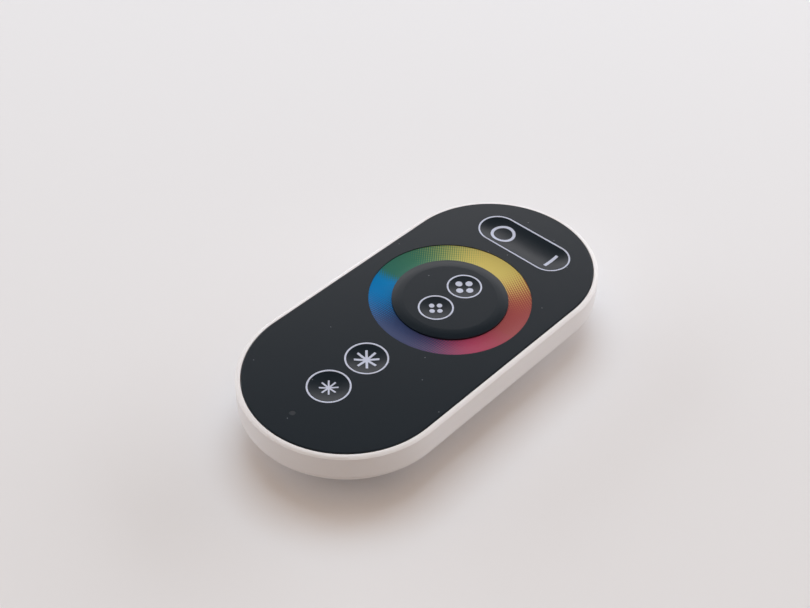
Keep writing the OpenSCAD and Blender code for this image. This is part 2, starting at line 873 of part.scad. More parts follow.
// A cell lying along Y with its nub towards +Y and its base at the origin
module cell_body() {
    nub_share = 0.18;
    ring_share = 0.36;
    nub_r = cell_d * nub_share;
    nub_h = 1;
    edge = 0.6;
    ring_r = cell_d * ring_share;
    rotate([-90, 0, 0])
        rotate_extrude()
            difference() {
                union() {
                    round_corner([cell_d / 2, cell_l - nub_h], [0, cell_l - nub_h], [cell_d / 2, 0], edge)
                        round_corner([cell_d / 2, 0], [0, 0], [cell_d / 2, cell_l], edge)
                            square([cell_d / 2, cell_l - nub_h]);
                    square([nub_r, cell_l]);
                }
                // A shallow ring round the base's flat middle
                translate([ring_r, -overrun]) square([edge / 2, overrun + edge / 2]);
            }
}

module cell_1() {
    color("#4a5c70")
        translate([-cell_x, bay_half_l - contact_t - cell_l, cell_z]) cell_body();
}

module cell_2() {
    color("#4a5c70")
        rotate([0, 0, 180])
            translate([-cell_x, bay_half_l - contact_t - cell_l, cell_z]) cell_body();
}

// An end contact: a plate on the bay's far wall, with a tab through the roof
module end_contact(x) {
    color(metal_colour)
        translate([x, 0, 0]) {
            block(plate_w / 2, bay_half_l - contact_t, bay_half_l, plate_low, plate_low + plate_h);
            block(tab_w / 2, bay_half_l - contact_t, bay_half_l, cell_z, tab_top);
        }
}

module positive_contact() {
    end_contact(-cell_x);
}

module negative_contact() {
    end_contact(cell_x);
}

module link_contact() {
    color(metal_colour)
        block(cell_x + plate_w / 2, -bay_half_l, contact_t - bay_half_l, plate_low, plate_low + plate_h);
}

// Ring of points round a path point, square to the path
function ring_points(path, i, r, sides, side_way) =
    let (
        before = path[max(i - 1, 0)],
        after = path[min(i + 1, len(path) - 1)],
        along = toward(before, after),
        u = toward([0, 0, 0], cross(along, side_way)),
        v = cross(along, u)
    )
    [for (k = [0 : sides - 1]) path[i] + r * (cos(360 * k / sides) * u + sin(360 * k / sides) * v)];

// A tube along a path, closed at both ends
module tube(path, r, sides, side_way) {
    rings = len(path);
    points = [for (i = [0 : rings - 1]) each ring_points(path, i, r, sides, side_way)];
    walls = [
        for (i = [0 : rings - 2], k = [0 : sides - 1])
            let (a = i * sides + k, b = i * sides + (k + 1) % sides)
            each [[a, b, b + sides], [a, b + sides, a + sides]]
    ];
    near_cap = [for (k = [1 : sides - 2]) [0, k + 1, k]];
    last = (rings - 1) * sides;
    far_cap = [for (k = [1 : sides - 2]) [last, last + k, last + k + 1]];
    polyhedron(points = points, faces = concat(walls, near_cap, far_cap));
}

// Centre line of a contact spring, wound round Y from its plate to the cell
spring_steps = spring_turns * rings_per_turn;
spring_rise = spring_l - spring_wire_d;
spring_path = [
    for (i = [0 : spring_steps])
        let (share = i / spring_steps, turn = 360 * i / rings_per_turn)
        let (r = spring_base_r + share * (spring_tip_r - spring_base_r))
        [r * cos(turn), spring_wire_d / 2 + share * spring_rise, r * sin(turn)]
];
spring_gap = min([
    for (i = [0 : spring_steps], k = [i + rings_per_turn / 2 : spring_steps])
        norm(spring_path[i] - spring_path[k]) - spring_wire_d
]);

module contact_springs() {
    echo(least_spring_gap = spring_gap);
    color(metal_colour)
        for (turn = [0, 180])
            rotate([0, 0, turn])
                translate([-cell_x, contact_t - bay_half_l, cell_z])
                    tube(spring_path, spring_wire_d / 2, wire_sides, [0, 1, 0]);
}

// A battery lead from a contact's tab to the board
module battery_lead(x) {
    low = roof_top + lead_d / 2 + lead_lift;
    path = [
        for (s = lead_shares)
            [x, bay_half_l + s[0] * lead_run, low + s[1] * (board_z - low)]
    ];
    tube(path, lead_d / 2, lead_sides, [1, 0, 0]);
}

module positive_lead() {
    color("#b3302c") battery_lead(-cell_x);
}

module negative_lead() {
    color("#1f2022") battery_lead(cell_x);
}

front_panel();
colour_ring();
led_window();
upper_housing();
lower_shell();
battery_cover();
case_screws();
panel_tape();
board_tape();
circuit_board();
ring_electrodes();
pad_electrodes();
status_led();
touch_chip();
microcontroller();
clock_crystal();
voltage_regulator();
buffer_capacitor();
chip_capacitors();
chip_resistors();
radio_board();
radio_chip();
radio_crystal();
antenna_trace();
cell_1();
cell_2();
positive_contact();
negative_contact();
link_contact();
contact_springs();
positive_lead();
negative_lead();
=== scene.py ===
# Handheld touch remote for a colour-changing light strip, lying on a pale table under soft light.
# The solids come from the frame. This script gives each of them its finish, and adds the marks
# that are printed on the touch panel, as thin layers of ink that follow the panel's dishes.
import math

import bmesh
import bpy
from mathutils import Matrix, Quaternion, Vector


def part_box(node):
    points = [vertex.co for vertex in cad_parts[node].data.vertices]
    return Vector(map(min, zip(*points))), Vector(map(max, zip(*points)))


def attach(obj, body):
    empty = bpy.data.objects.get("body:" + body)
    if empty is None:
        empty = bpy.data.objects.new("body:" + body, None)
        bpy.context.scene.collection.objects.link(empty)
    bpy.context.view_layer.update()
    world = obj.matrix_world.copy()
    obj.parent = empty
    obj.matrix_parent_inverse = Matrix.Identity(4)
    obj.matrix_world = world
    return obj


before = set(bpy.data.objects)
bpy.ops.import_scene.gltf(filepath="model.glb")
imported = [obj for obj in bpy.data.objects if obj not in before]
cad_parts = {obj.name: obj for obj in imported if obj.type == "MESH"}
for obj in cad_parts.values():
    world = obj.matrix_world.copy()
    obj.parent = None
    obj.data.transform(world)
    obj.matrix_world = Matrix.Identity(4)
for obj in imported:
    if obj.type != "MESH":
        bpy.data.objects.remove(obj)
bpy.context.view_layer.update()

MM = 0.001
FULL_TURN = 2 * math.pi

# Points that are nearer to each other than this, in millimetres, are one point
WELD = 0.001

# Places on the touch panel, in millimetres from its middle, and the height of its top
PANEL_TOP = 20.0
RING_Y = 9.7
SMALL_STAR_Y = -35.4
LARGE_STAR_Y = -22.0
SMALL_DOTS_Y = RING_Y - 5.65
LARGE_DOTS_Y = RING_Y + 5.8
POWER_Y = 40.7

# Mouth radius and depth of each kind of dish, and half the distance between the power pad's round ends
STAR_PAD_R = 5.4
STAR_PAD_DEPTH = 0.6
DOT_PAD_R = 4.5
DOT_PAD_DEPTH = 0.35
POWER_PAD_R = 5.5
POWER_PAD_DEPTH = 0.8
POWER_HALF_SPAN = 8.95

# The dishes in the panel: centre y, half span along x, mouth radius and depth
DISHES = [
    (SMALL_STAR_Y, 0.0, STAR_PAD_R, STAR_PAD_DEPTH),
    (LARGE_STAR_Y, 0.0, STAR_PAD_R, STAR_PAD_DEPTH),
    (SMALL_DOTS_Y, 0.0, DOT_PAD_R, DOT_PAD_DEPTH),
    (LARGE_DOTS_Y, 0.0, DOT_PAD_R, DOT_PAD_DEPTH),
    (POWER_Y, POWER_HALF_SPAN, POWER_PAD_R, POWER_PAD_DEPTH),
]


# Materials

def linear(hex_colour):
    """The linear colour of an sRGB hex value."""
    parts = [int(hex_colour[i:i + 2], 16) / 255 for i in (1, 3, 5)]
    return [p / 12.92 if p <= 0.04045 else ((p + 0.055) / 1.055) ** 2.4 for p in parts] + [1.0]


def add(tree, kind, inputs=None, **settings):
    """Adds a node with its settings, and sets or links its inputs."""
    node = tree.nodes.new(kind)
    for name, value in settings.items():
        setattr(node, name, value)
    for socket, source in (inputs or {}).items():
        if isinstance(source, bpy.types.NodeSocket):
            tree.links.new(source, node.inputs[socket])
        else:
            node.inputs[socket].default_value = source
    return node


def finish_named(name, **constants):
    """A new material with its constants on the shader's own sockets."""
    material = bpy.data.materials.new(name)
    material.use_nodes = True
    shader = material.node_tree.nodes["Principled BSDF"]
    for socket, value in constants.items():
        shader.inputs[socket.replace("_", " ")].default_value = value
    return material, material.node_tree, shader


def per_mm(size_mm):
    """The texture scale at which one feature is size_mm across."""
    return 1 / (size_mm * MM)


def colour_between(tree, factor, first, second):
    """The colour that goes from first to second as factor goes from 0 to 1."""
    mix = add(tree, "ShaderNodeMix", {0: factor}, data_type="RGBA")
    # The mix node's two colours are its inputs 6 and 7, and its blend is output 2
    for socket, source in ((6, first), (7, second)):
        if isinstance(source, str):
            mix.inputs[socket].default_value = linear(source)
        else:
            tree.links.new(source, mix.inputs[socket])
    return mix.outputs[2]


def inside_box(tree, place, centre_mm, half_mm):
    """1 inside a box centred on centre_mm, and 0 outside. An axis whose half is None has no limit."""
    centre = [c * MM for c in centre_mm]
    off = add(tree, "ShaderNodeVectorMath", {0: place, 1: centre}, operation="SUBTRACT").outputs[0]
    off = add(tree, "ShaderNodeVectorMath", {0: off}, operation="ABSOLUTE").outputs[0]
    axes = add(tree, "ShaderNodeSeparateXYZ", {0: off})
    result = None
    for axis, half in enumerate(half_mm):
        if half is None:
            continue
        limits = {0: axes.outputs[axis], 1: half * MM}
        within = add(tree, "ShaderNodeMath", limits, operation="LESS_THAN").outputs[0]
        if result is not None:
            both = {0: result, 1: within}
            within = add(tree, "ShaderNodeMath", both, operation="MULTIPLY").outputs[0]
        result = within
    return result


def middle_mm(node):
    """The middle of a node's box, in millimetres."""
    low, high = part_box(node)
    return [(a + b) / 2 / MM for a, b in zip(low, high)]


# How far a moulded tone drifts, and how much the grit spreads the roughness
TONE_DRIFT_MM = 25
GRIT_SPREAD = 0.05


def moulded_grit(name, colour, shade, grit_mm, grit_height_mm, roughness, specular=0.5):
    """Moulded plastic: the tool's fine spark-eroded grit breaks up the gloss, and the tone drifts a little.

    Gives the material with its tree and shader, the place on the object, and the tone.
    """
    material, tree, shader = finish_named(name, IOR=1.5, Specular_IOR_Level=specular)
    place = add(tree, "ShaderNodeTexCoord").outputs["Object"]
    grit = add(tree, "ShaderNodeTexNoise", {"Vector": place, "Scale": per_mm(grit_mm), "Detail": 2.0})
    drift = add(tree, "ShaderNodeTexNoise", {"Vector": place, "Scale": per_mm(TONE_DRIFT_MM), "Detail": 1.0})
    tone = colour_between(tree, drift.outputs["Fac"], colour, shade)
    tree.links.new(tone, shader.inputs["Base Color"])
    rough = add(tree, "ShaderNodeMapRange", {
        "Value": grit.outputs["Fac"], "To Min": roughness - GRIT_SPREAD, "To Max": roughness + GRIT_SPREAD,
    })
    tree.links.new(rough.outputs[0], shader.inputs["Roughness"])
    bump = add(tree, "ShaderNodeBump", {"Height": grit.outputs["Fac"], "Distance": grit_height_mm * MM})
    tree.links.new(bump.outputs["Normal"], shader.inputs["Normal"])
    return material, tree, shader, place, tone


def moulded_plastic(*surface, **more):
    """Moulded plastic with nothing laid over it, from what moulded_grit takes."""
    return moulded_grit(*surface, **more)[0]


# Sizes of a metal's stains and drawn grain, and how much the grain spreads the roughness
STAIN_MM = 3
GRAIN_MM = 0.4
GRAIN_SPREAD = 0.08


def plated_metal(name, colour, shade, roughness):
    """Metal sheet or wire: bright, with faint stains and a fine drawn grain."""
    material, tree, shader = finish_named(name, Metallic=1.0)
    place = add(tree, "ShaderNodeTexCoord").outputs["Object"]
    stain = add(tree, "ShaderNodeTexNoise", {"Vector": place, "Scale": per_mm(STAIN_MM), "Detail": 3.0})
    grain = add(tree, "ShaderNodeTexNoise", {"Vector": place, "Scale": per_mm(GRAIN_MM), "Detail": 2.0})
    tone = colour_between(tree, stain.outputs["Fac"], colour, shade)
    tree.links.new(tone, shader.inputs["Base Color"])
    rough = add(tree, "ShaderNodeMapRange", {
        "Value": grain.outputs["Fac"], "To Min": roughness - GRAIN_SPREAD, "To Max": roughness + GRAIN_SPREAD,
    })
    tree.links.new(rough.outputs[0], shader.inputs["Roughness"])
    return material


# White ABS, moulded with a fine matt grit: a soft warm white whose edges catch the light
case_abs = moulded_plastic("white_abs_moulded", "#f1edec", "#ece8e7",
                           grit_mm=0.25, grit_height_mm=0.004, roughness=0.42, specular=0.4)

# Dust on the panel: the size of a square that holds one speck at most, a speck's radius, and the share
# of the squares that hold one
DUST_APART_MM = 5
DUST_R_MM = 0.13
DUST_SHARE = 0.1


def panel_finish():
    """Black ABS, spark-eroded matt: a dark slate tone with no clear reflection, and a few specks of dust."""
    material, tree, shader, place, tone = moulded_grit(
        "black_abs_matt", "#0b1921", "#0a171f", grit_mm=0.2, grit_height_mm=0.004, roughness=0.36)
    squares = add(tree, "ShaderNodeTexVoronoi", {"Vector": place, "Scale": per_mm(DUST_APART_MM)},
                  voronoi_dimensions="2D")
    reach = {0: squares.outputs["Distance"], 1: DUST_R_MM / DUST_APART_MM}
    near = add(tree, "ShaderNodeMath", reach, operation="LESS_THAN").outputs[0]
    lot = add(tree, "ShaderNodeSeparateColor", {0: squares.outputs["Color"]}).outputs[0]
    chosen = add(tree, "ShaderNodeMath", {0: lot, 1: DUST_SHARE}, operation="LESS_THAN").outputs[0]
    speck = add(tree, "ShaderNodeMath", {0: near, 1: chosen}, operation="MULTIPLY").outputs[0]
    tree.links.new(colour_between(tree, speck, tone, "#7d8085"), shader.inputs["Base Color"])
    return material


# Hues of the printed ring, by degrees from the +X axis towards the far tip
RING_HUES = [
    (0, "#94484a"), (36, "#964541"), (52, "#aa6a4a"), (68, "#cab666"),
    (110, "#c8b664"), (132, "#859559"), (152, "#3e6f56"), (190, "#2f685a"),
    (199, "#0075ae"), (226, "#006ba8"), (242, "#2d4066"), (286, "#353959"),
    (305, "#583c5b"), (320, "#9c3b57"), (342, "#9b3c52"), (360, "#94484a"),
]

# The printer's screen: the degrees round the ring from which it holds, the degrees of the direction
# square to its rows, and its strength
SCREENS = [(0, 60, 1.0), (88, 38, 1.0), (165, 38, 0.2), (216, 0, 1.0)]

# The screen's rows, and the dots along a row, are drawn a little coarser than printed, so that the
# camera can show them
ROWS_APART_MM = 0.6
DOTS_APART_MM = 0.8

# How much the dots break up the rows, and how far the screen shifts a hue, as a share of a turn
DOT_FORCE = 0.4
SCREEN_REACH = 0.03

# The film's own fine grit
FILM_GRIT_MM = 0.2
FILM_GRIT_HEIGHT_MM = 0.003


def ramp_by_degrees(tree, factor, stops, colours, blend):
    """A colour ramp over one turn, with its stops in degrees."""
    ramp = add(tree, "ShaderNodeValToRGB", {0: factor})
    ramp.color_ramp.interpolation = blend
    marks = ramp.color_ramp.elements
    while len(marks) > 1:
        marks.remove(marks[-1])
    for i, (degrees, colour) in enumerate(zip(stops, colours)):
        mark = marks[0] if i == 0 else marks.new(degrees / 360)
        mark.position = degrees / 360
        mark.color = colour
    return ramp.outputs[0]


def wave(tree, along, apart_mm):
    """A wave along a length, with its crests apart_mm apart."""
    phase = add(tree, "ShaderNodeMath", {0: along, 1: FULL_TURN * per_mm(apart_mm)}, operation="MULTIPLY")
    return add(tree, "ShaderNodeMath", {0: phase.outputs[0]}, operation="SINE").outputs[0]


def ring_finish():
    """Polyester film, screen-printed: each hue turns into the next by a fine slanting screen of dots."""
    material, tree, shader = finish_named(
        "printed_polyester_film", IOR=1.5, Roughness=0.3, Specular_IOR_Level=0.11)
    place = add(tree, "ShaderNodeTexCoord").outputs["Object"]
    ring_middle = (0, RING_Y * MM, 0)
    off = add(tree, "ShaderNodeVectorMath", {0: place, 1: ring_middle}, operation="SUBTRACT").outputs[0]
    axes = add(tree, "ShaderNodeSeparateXYZ", {0: off}).outputs
    turn = add(tree, "ShaderNodeMath", {0: axes[1], 1: axes[0]}, operation="ARCTAN2").outputs[0]
    share = add(tree, "ShaderNodeMath", {0: turn, 1: 1 / FULL_TURN}, operation="MULTIPLY").outputs[0]
    share = add(tree, "ShaderNodeMath", {0: share, 1: 1.0, 2: 0.0}, operation="WRAP").outputs[0]
    # Red holds the screen's direction as a share of half a turn, and green its strength
    zones = ramp_by_degrees(
        tree, share, [start for start, _, _ in SCREENS],
        [(direction / 180, strength, 0.0, 1.0) for _, direction, strength in SCREENS], "CONSTANT")
    zones = add(tree, "ShaderNodeSeparateColor", {0: zones}).outputs
    slant = add(tree, "ShaderNodeMath", {0: zones[0], 1: -math.pi}, operation="MULTIPLY").outputs[0]
    turned = add(tree, "ShaderNodeVectorRotate", {"Vector": off, "Angle": slant}, rotation_type="Z_AXIS")
    rows = add(tree, "ShaderNodeSeparateXYZ", {0: turned.outputs[0]}).outputs
    crests = {0: wave(tree, rows[1], DOTS_APART_MM), 1: DOT_FORCE, 2: wave(tree, rows[0], ROWS_APART_MM)}
    screen = add(tree, "ShaderNodeMath", crests, operation="MULTIPLY_ADD").outputs[0]
    force = add(tree, "ShaderNodeMath", {0: zones[1], 1: SCREEN_REACH}, operation="MULTIPLY").outputs[0]
    shifted = {0: screen, 1: force, 2: share}
    dithered = add(tree, "ShaderNodeMath", shifted, operation="MULTIPLY_ADD").outputs[0]
    hue = ramp_by_degrees(
        tree, dithered, [degrees for degrees, _ in RING_HUES], [linear(h) for _, h in RING_HUES], "LINEAR")
    tree.links.new(hue, shader.inputs["Base Color"])
    grit = add(tree, "ShaderNodeTexNoise", {"Vector": place, "Scale": per_mm(FILM_GRIT_MM), "Detail": 2.0})
    bump = add(tree, "ShaderNodeBump", {"Height": grit.outputs["Fac"], "Distance": FILM_GRIT_HEIGHT_MM * MM})
    tree.links.new(bump.outputs["Normal"], shader.inputs["Normal"])
    return material


# Screen-printed ink: a pale cool grey that stays flat and matt
ink = moulded_plastic("screen_printed_ink", "#c6cada", "#bfc4d5",
                      grit_mm=0.3, grit_height_mm=0.002, roughness=0.55, specular=0.3)

# Smoked polycarbonate, polished: the light pipe shows as a faint grey spot
light_pipe = moulded_plastic("smoked_polycarbonate", "#383b3f", "#34373b",
                             grit_mm=0.5, grit_height_mm=0.001, roughness=0.3)

# Tracks on a board: the size of the fields that they part, half a track's width, and its height
FIELD_MM = 5
TRACK_HALF_W_MM = 0.225
TRACK_HEIGHT_MM = 0.02


def board_finish(name, mask_colour, track_colour):
    """Glass-epoxy board under glossy solder mask: its copper tracks show through, paler than the ground."""
    material, tree, shader = finish_named(name, IOR=1.5, Roughness=0.35)
    place = add(tree, "ShaderNodeTexCoord").outputs["Object"]
    fields = add(tree, "ShaderNodeTexVoronoi", {"Vector": place, "Scale": per_mm(FIELD_MM)},
                 feature="DISTANCE_TO_EDGE")
    edge = {0: fields.outputs["Distance"], 1: TRACK_HALF_W_MM / FIELD_MM}
    track = add(tree, "ShaderNodeMath", edge, operation="LESS_THAN").outputs[0]
    tree.links.new(colour_between(tree, track, mask_colour, track_colour), shader.inputs["Base Color"])
    bump = add(tree, "ShaderNodeBump", {"Height": track, "Distance": TRACK_HEIGHT_MM * MM})
    tree.links.new(bump.outputs["Normal"], shader.inputs["Normal"])
    return material


def bare_outside(tree, shader, body, body_colour, metal_colour):
    """Shows body_colour where body is 1, and bare metal where it is 0."""
    tree.links.new(colour_between(tree, body, metal_colour, body_colour), shader.inputs["Base Color"])
    bare = add(tree, "ShaderNodeMath", {0: 1.0, 1: body}, operation="SUBTRACT").outputs[0]
    tree.links.new(bare, shader.inputs["Metallic"])


# Moulded epoxy: matt black with a fine grit
EPOXY = {"colour": "#232527", "shade": "#1f2123", "grit_mm": 0.15, "grit_height_mm": 0.003, "roughness": 0.6}


def chip_finish(name, node, body_half_mm):
    """Moulded epoxy chip: matt black, with tinned legs outside its body."""
    material, tree, shader, place, tone = moulded_grit(name, **EPOXY)
    body = inside_box(tree, place, middle_mm(node), body_half_mm)
    bare_outside(tree, shader, body, tone, "#c3c5c7")
    return material


# Half the ceramic body that shows between a small part's two caps
CERAMIC_HALF_MM = (0.55, 0.6, None)


def solid_middles_mm(node):
    """The middle of each separate solid in a node, in millimetres."""
    mesh = bmesh.new()
    mesh.from_mesh(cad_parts[node].data)
    bmesh.ops.remove_doubles(mesh, verts=mesh.verts, dist=WELD * MM)
    middles = []
    for first in mesh.verts:
        if first.tag:
            continue
        first.tag = True
        solid = [first]
        # The list grows by each point's neighbours while the loop goes through it
        for point in solid:
            for edge in point.link_edges:
                other = edge.other_vert(point)
                if not other.tag:
                    other.tag = True
                    solid.append(other)
        sides = zip(*(point.co for point in solid))
        middles.append([(min(side) + max(side)) / 2 / MM for side in sides])
    mesh.free()
    return middles


def capped_finish(name, node, body_colour):
    """Fired ceramic chips: each has a soldered cap at both its ends."""
    material, tree, shader, place, tone = moulded_grit(
        name, body_colour, body_colour, grit_mm=0.2, grit_height_mm=0.003, roughness=0.5)
    body = None
    for middle in solid_middles_mm(node):
        one = inside_box(tree, place, middle, CERAMIC_HALF_MM)
        if body is not None:
            one = add(tree, "ShaderNodeMath", {0: body, 1: one}, operation="ADD").outputs[0]
        body = one
    bare_outside(tree, shader, body, tone, "#c9cbcd")
    return material


# Along a cell, from its middle: half the sleeve, and half the slate blue part of its print
SLEEVE_HALF_MM = 21.2
BLUE_HALF_MM = 14.5

# The sleeve's crinkles: their size and height, and the roughness in them and between them
CRINKLE_MM = 1.5
CRINKLE_HEIGHT_MM = 0.01
SMOOTH_SLEEVE = 0.22
ROUGH_SLEEVE = 0.34


def cell_finish(node):
    """AAA cell in a printed shrink sleeve: slate blue and glossy, with pale ends, and bare nickel tips."""
    material, tree, shader = finish_named("cell_shrink_sleeve", IOR=1.5)
    place = add(tree, "ShaderNodeTexCoord").outputs["Object"]
    sleeve = inside_box(tree, place, middle_mm(node), (None, SLEEVE_HALF_MM, None))
    blue = inside_box(tree, place, middle_mm(node), (None, BLUE_HALF_MM, None))
    bare_outside(tree, shader, sleeve, colour_between(tree, blue, "#c9ccd0", "#44566a"), "#c9cac6")
    crinkle = add(tree, "ShaderNodeTexNoise", {"Vector": place, "Scale": per_mm(CRINKLE_MM), "Detail": 2.0})
    rough = add(tree, "ShaderNodeMapRange", {
        "Value": crinkle.outputs["Fac"], "To Min": SMOOTH_SLEEVE, "To Max": ROUGH_SLEEVE,
    })
    tree.links.new(rough.outputs[0], shader.inputs["Roughness"])
    bump = add(tree, "ShaderNodeBump", {"Height": crinkle.outputs["Fac"], "Distance": CRINKLE_HEIGHT_MM * MM})
    tree.links.new(bump.outputs["Normal"], shader.inputs["Normal"])
    return material


def tape_finish(name):
    """Tissue tape, glued on both faces: a dull warm white."""
    return moulded_plastic(name, "#dcd5c4", "#d2cab8", grit_mm=0.3, grit_height_mm=0.01, roughness=0.8)


def lead_finish(name, colour, shade):
    """PVC, extruded over the wire: a plain colour with a low sheen."""
    return moulded_plastic(name, colour, shade, grit_mm=0.5, grit_height_mm=0.003, roughness=0.4)


# Clear epoxy, cast: the indicator lamp is a glossy pale straw colour
lamp_epoxy = moulded_plastic("clear_epoxy_lamp", "#e6e3d2", "#dcd9c6",
                             grit_mm=0.4, grit_height_mm=0.002, roughness=0.25)

# Vinyl sleeve, shrunk over the capacitor's can: a dark blue with a soft gloss
capacitor_vinyl = moulded_plastic("capacitor_sleeve_vinyl", "#33384e", "#2d3146",
                                  grit_mm=0.4, grit_height_mm=0.003, roughness=0.35)

# Nickel on the contact sheet and springs is warm and bright, zinc on the screws is a cooler grey,
# rolled copper foil is a soft orange, and the crystals' drawn cans are pale and even
nickel = plated_metal("nickel_plated_steel", "#c4c2bb", "#b4b1a8", roughness=0.26)
steel = plated_metal("zinc_plated_steel", "#b3b5b6", "#9fa2a4", roughness=0.32)
copper = plated_metal("bare_copper_foil", "#c07c4f", "#a8683f", roughness=0.35)
crystal_can = plated_metal("drawn_nickel_silver", "#bdbdb9", "#acaca7", roughness=0.3)

# Half of each chip's body, in millimetres. Its legs stand outside
TOUCH_CHIP_HALF = (2.7, None, None)
MICROCONTROLLER_HALF = (3.55, 3.55, None)
REGULATOR_HALF = (None, 1.3, None)

FINISHES = {
    "front_panel": panel_finish(),
    "colour_ring": ring_finish(),
    "led_window": light_pipe,
    "upper_housing": case_abs,
    "lower_shell": case_abs,
    "battery_cover": case_abs,
    "case_screws": steel,
    "panel_tape": tape_finish("tissue_tape"),
    "board_tape": tape_finish("tissue_tape_sheet"),
    "circuit_board": board_finish("green_solder_mask", "#1f5a38", "#3b7d4f"),
    "ring_electrodes": copper,
    "pad_electrodes": copper,
    "status_led": lamp_epoxy,
    "touch_chip": chip_finish("epoxy_chip_two_rows", "touch_chip", TOUCH_CHIP_HALF),
    "microcontroller": chip_finish("epoxy_chip_four_rows", "microcontroller", MICROCONTROLLER_HALF),
    "clock_crystal": crystal_can,
    "voltage_regulator": chip_finish("epoxy_regulator", "voltage_regulator", REGULATOR_HALF),
    "buffer_capacitor": capacitor_vinyl,
    "chip_capacitors": capped_finish("fired_ceramic_tan", "chip_capacitors", "#a98862"),
    "chip_resistors": capped_finish("fired_ceramic_black", "chip_resistors", "#303032"),
    "radio_board": board_finish("blue_solder_mask", "#1d3f76", "#345c96"),
    "radio_chip": moulded_plastic("epoxy_chip_radio", **EPOXY),
    "radio_crystal": crystal_can,
    "antenna_trace": copper,
    "cell_1": cell_finish("cell_1"),
    "cell_2": cell_finish("cell_2"),
    "positive_contact": nickel,
    "negative_contact": nickel,
    "link_contact": nickel,
    "contact_springs": nickel,
    "positive_lead": lead_finish("red_pvc_lead", "#b3302c", "#a52a27"),
    "negative_lead": lead_finish("black_pvc_lead", "#232426", "#1e1f21"),
}
for node_name, material in FINISHES.items():
    for material_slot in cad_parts[node_name].material_slots:
        material_slot.material = material


# The printed marks, in millimetres

# How far the ink stands proud of the panel, and its whole thickness with what reaches into the panel
INK_PROUD = 0.05
INK_LAYER = 0.1

# An edge that is shorter than this has no length
NO_LENGTH = 0.0001

# Width of a pad's outline
LINE_W = 0.45

# Stars: how far an arm reaches from the middle, and its width
STAR_ARMS = 8
SMALL_STAR_ARM = (2.4, 0.45)
LARGE_STAR_ARM = (3.2, 0.64)

# Four dots on a pad: how far they are from its middle, and their radius. Each is a hoop round a hole
# that is too small to show
SMALL_DOTS = (1.45, 0.72)
LARGE_DOTS = (1.9, 0.95)
PIN_HOLE_R = 0.001

# The O and the I on the power pad: x and y of the middle, then inner and outer radius, or half width
# and half length
POWER_O = (-7.1, 40.4, 2.65, 3.5)
POWER_I = (9.75, 40.5, 0.45, 2.8)


def panel_height(x, y):
    """The height of the panel's surface over a place, in millimetres."""
    height = PANEL_TOP
    for dish_y, half_span, mouth_r, depth in DISHES:
        away = math.hypot(max(abs(x) - half_span, 0.0), y - dish_y)
        if away < mouth_r:
            ball_r = (mouth_r ** 2 + depth ** 2) / (2 * depth)
            height = PANEL_TOP - (math.sqrt(ball_r ** 2 - away ** 2) - (ball_r - depth))
    return height


def print_marks(name, strips):
    """Prints strips on the panel. A strip is rows of points with the same count, joined row to row."""
    mesh = bmesh.new()
    for rows, closed in strips:
        grid = [
            [mesh.verts.new((x * MM, y * MM, (panel_height(x, y) + INK_PROUD) * MM)) for x, y in row]
            for row in rows
        ]
        count = len(grid) if closed else len(grid) - 1
        for i in range(count):
            here, there = grid[i], grid[(i + 1) % len(grid)]
            for k in range(len(here) - 1):
                mesh.faces.new((here[k], here[k + 1], there[k + 1], there[k]))
    # Points in one place become one, such as a star's middle, and faces with no area go
    bmesh.ops.remove_doubles(mesh, verts=mesh.verts, dist=WELD * MM)
    bmesh.ops.dissolve_degenerate(mesh, edges=mesh.edges, dist=NO_LENGTH * MM)
    bmesh.ops.recalc_face_normals(mesh, faces=mesh.faces)
    for face in mesh.faces:
        if face.normal.z < 0:
            face.normal_flip()
    data = bpy.data.meshes.new(name)
    mesh.to_mesh(data)
    mesh.free()
    piece = bpy.data.objects.new(name, data)
    bpy.context.collection.objects.link(piece)
    layer = piece.modifiers.new("ink_layer", "SOLIDIFY")
    layer.thickness = INK_LAYER * MM
    layer.offset = -1.0
    data.materials.append(ink)
    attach(piece, "case")


def outline(y, half_span, radius, width, steps=96):
    """A closed line of the given width round a dish."""
    rows = []
    for i in range(steps):
        turn = FULL_TURN * (i + 0.5) / steps
        side = half_span if math.cos(turn) > 0 else -half_span
        rows.append([
            (side + r * math.cos(turn), y + r * math.sin(turn))
            for r in (radius - width / 2, radius, radius + width / 2)
        ])
    return rows, True


def hoop(x, y, inner_r, outer_r, steps=64, bands=3):
    """A flat round hoop, or a disc where inner_r is nearly nothing."""
    radii = [inner_r + (outer_r - inner_r) * k / bands for k in range(bands + 1)]
    rows = []
    for i in range(steps):
        turn = FULL_TURN * i / steps
        rows.append([(x + r * math.cos(turn), y + r * math.sin(turn)) for r in radii])
    return rows, True


def star(y, reach, width, steps=6):
    """Arms that meet in the middle, each with its steps along it."""
    strips = []
    half_angle = FULL_TURN / STAR_ARMS / 2
    notch = width / 2 / math.sin(half_angle)
    base = notch * math.cos(half_angle)
    for arm in range(STAR_ARMS):
        turn = FULL_TURN / STAR_ARMS * arm
        along, across = (math.cos(turn), math.sin(turn)), (-math.sin(turn), math.cos(turn))
        rows = [[(0.0, y)] * 3]
        for k in range(steps + 1):
            out = base + (reach - base) * k / steps
            rows.append([
                (out * along[0] + s * width / 2 * across[0], y + out * along[1] + s * width / 2 * across[1])
                for s in (-1, 0, 1)
            ])
        strips.append((rows, False))
    return strips


def four_dots(y, away, radius):
    """Four dots round a pad's middle."""
    turns = [FULL_TURN * k / 4 for k in range(4)]
    return [
        hoop(away * math.cos(turn), y + away * math.sin(turn), PIN_HOLE_R, radius, steps=32)
        for turn in turns
    ]


def bar(x, y, half_w, half_l, half_steps=6):
    """A straight bar along y."""
    levels = [y + half_l * (k / half_steps - 1) for k in range(2 * half_steps + 1)]
    return [[(x + s * half_w, level) for s in (-1, 0, 1)] for level in levels], False


